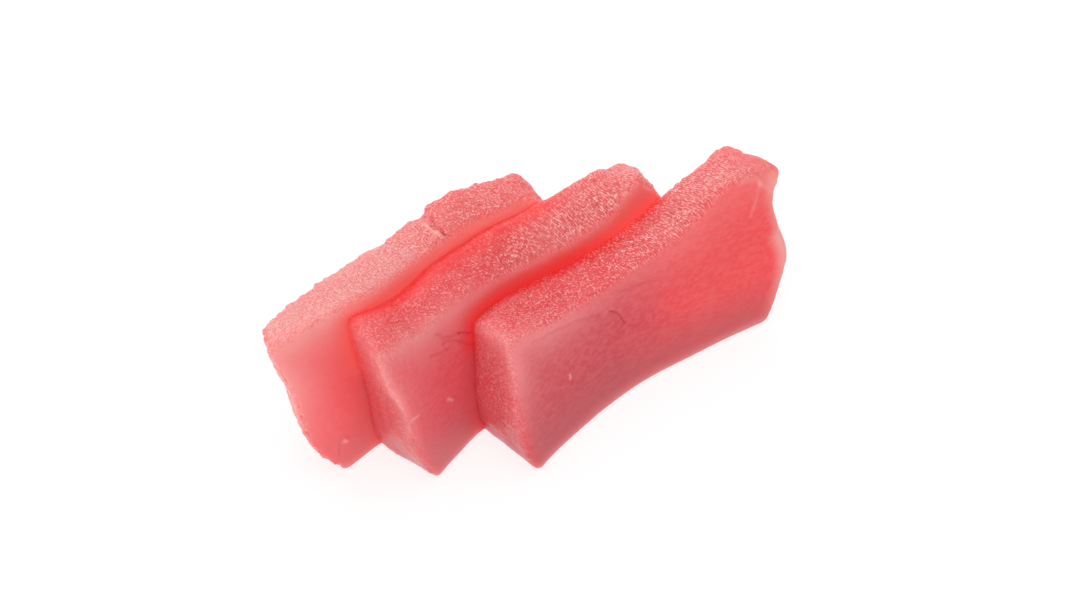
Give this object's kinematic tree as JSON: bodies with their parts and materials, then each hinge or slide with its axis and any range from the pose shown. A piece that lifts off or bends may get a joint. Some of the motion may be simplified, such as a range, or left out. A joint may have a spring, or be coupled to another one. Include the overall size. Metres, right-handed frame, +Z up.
{
  "type": "tuna sashimi",
  "caption": "Raw tuna sashimi: thick slices cut side by side from one block, each leaning back on the one behind it and set a little further along",
  "frame": {"origin": "the middle of the bounding box's underside, on the surface that the slices stand on", "axes": "+X runs along the slices, from the near end to the far end; -Y runs from the back slice to the front slice, whose cut face shows whole; +Z is up"},
  "size_m": [0.103, 0.0488, 0.0307],
  "materials": {
    "flesh_back": "moist translucent raw fish",
    "flesh_middle": "moist translucent raw fish",
    "flesh_front": "moist translucent raw fish"
  },
  "bodies": {
    "root": {"slice_back": "flesh_back", "slice_middle": "flesh_middle", "slice_front": "flesh_front"}
  },
  "joints": []
}
